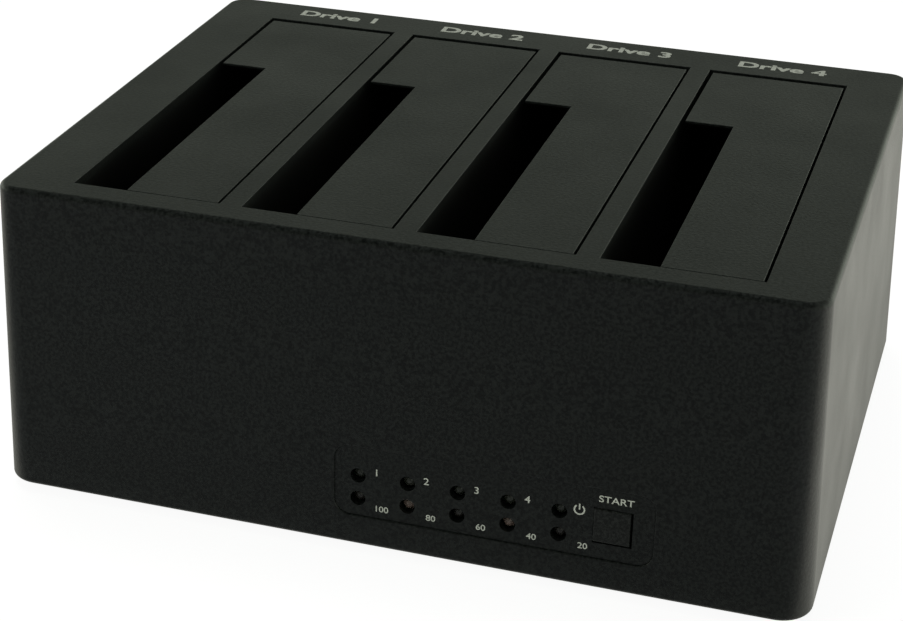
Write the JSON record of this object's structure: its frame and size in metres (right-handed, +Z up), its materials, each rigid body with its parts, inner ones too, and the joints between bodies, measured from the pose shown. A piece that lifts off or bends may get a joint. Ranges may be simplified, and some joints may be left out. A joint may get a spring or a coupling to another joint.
{
  "type": "hard drive docking station",
  "caption": "Box-shaped docking station that takes bare drives from above, with sprung L-shaped flaps over its bays and a front panel with lamps and a push button.",
  "frame": {"origin": "centre of the bounding box in plan, on the plane that the rubber feet stand on", "axes": "+Z up, the front with the control panel faces -Y, +X to the right seen from the front"},
  "size_m": [0.1658, 0.1268, 0.067],
  "materials": {
    "case_plastic": "fine sparked texture, satin",
    "flap_plastic": "fine sparked texture, satin",
    "well_plastic": "smooth moulded",
    "panel_plastic": "fine texture",
    "socket_plastic": "moulded, glass filled",
    "contact_metal": "gold plated",
    "pin_steel": "ground",
    "spring_steel": "drawn wire",
    "screw_steel": "black zinc",
    "rubber": "moulded",
    "board_laminate": "solder mask",
    "chip_plastic": "moulded",
    "can_metal": "drawn",
    "ferrite": "sintered ferrite",
    "lamp_resin": "clear cast resin",
    "port_steel": "nickel plated",
    "port_plastic": "moulded",
    "switch_plastic": "moulded"
  },
  "bodies": {
    "case": {"upper_case": "case_plastic", "base_plate": "case_plastic", "rubber_feet": "rubber", "case_screws": "screw_steel", "well_screws": "pin_steel", "control_panel": "panel_plastic", "switch_body": "chip_plastic", "status_leds": "lamp_resin", "progress_leds": "lamp_resin", "led_board": "board_laminate", "led_board_screws": "pin_steel", "main_board": "board_laminate", "board_screws": "pin_steel", "controller_chips": "chip_plastic", "capacitors": "can_metal", "inductors": "ferrite", "crystal": "can_metal", "board_header": "socket_plastic", "header_pins": "contact_metal", "dc_jack": "socket_plastic", "dc_jack_pin": "can_metal", "usb_shell": "port_steel", "usb_insulator": "port_plastic", "power_switch_housing": "switch_plastic", "flap_hinge_pin_1": "pin_steel", "flap_spring_1": "spring_steel", "drive_well_1": "well_plastic", "sata_receptacle_1": "socket_plastic", "sata_contacts_1": "contact_metal", "flap_hinge_pin_2": "pin_steel", "flap_spring_2": "spring_steel", "drive_well_2": "well_plastic", "sata_receptacle_2": "socket_plastic", "sata_contacts_2": "contact_metal", "flap_hinge_pin_3": "pin_steel", "flap_spring_3": "spring_steel", "drive_well_3": "well_plastic", "sata_receptacle_3": "socket_plastic", "sata_contacts_3": "contact_metal", "flap_hinge_pin_4": "pin_steel", "flap_spring_4": "spring_steel", "drive_well_4": "well_plastic", "sata_receptacle_4": "socket_plastic", "sata_contacts_4": "contact_metal"},
    "flap_1": {"bay_flap_1": "flap_plastic"},
    "flap_2": {"bay_flap_2": "flap_plastic"},
    "flap_3": {"bay_flap_3": "flap_plastic"},
    "flap_4": {"bay_flap_4": "flap_plastic"},
    "button": {"start_button": "panel_plastic", "switch_plunger": "socket_plastic"},
    "rocker": {"power_rocker": "switch_plastic"}
  },
  "joints": [
    {"name": "flap_1_hinge", "type": "hinge", "parent": "case", "child": "flap_1", "pos_m": [-0.03793, 0, 0.0655], "axis": [0, -1, 0], "range_deg": [0, 90], "stiffness_Nm_per_rad": 0.002, "springref_deg": -40.11, "deforming": ["flap_spring_1"]},
    {"name": "flap_2_hinge", "type": "hinge", "parent": "case", "child": "flap_2", "pos_m": [-0.00308, 0, 0.0655], "axis": [0, -1, 0], "range_deg": [0, 90], "stiffness_Nm_per_rad": 0.002, "springref_deg": -40.11, "deforming": ["flap_spring_2"]},
    {"name": "flap_3_hinge", "type": "hinge", "parent": "case", "child": "flap_3", "pos_m": [0.03177, 0, 0.0655], "axis": [0, -1, 0], "range_deg": [0, 90], "stiffness_Nm_per_rad": 0.002, "springref_deg": -40.11, "deforming": ["flap_spring_3"]},
    {"name": "flap_4_hinge", "type": "hinge", "parent": "case", "child": "flap_4", "pos_m": [0.06662, 0, 0.0655], "axis": [0, -1, 0], "range_deg": [0, 90], "stiffness_Nm_per_rad": 0.002, "springref_deg": -40.11, "deforming": ["flap_spring_4"]},
    {"name": "start_button_press", "type": "slide", "parent": "case", "child": "button", "axis": [0, 0.9995, -0.0331], "range_m": [0, 0.0005], "stiffness_N_per_m": 300, "springref_m": -0.001},
    {"name": "power_rocker_tilt", "type": "hinge", "parent": "case", "child": "rocker", "pos_m": [0.04725, 0.0568, 0.0142], "axis": [-1, 0, 0], "range_deg": [0, 16]}
  ]
}
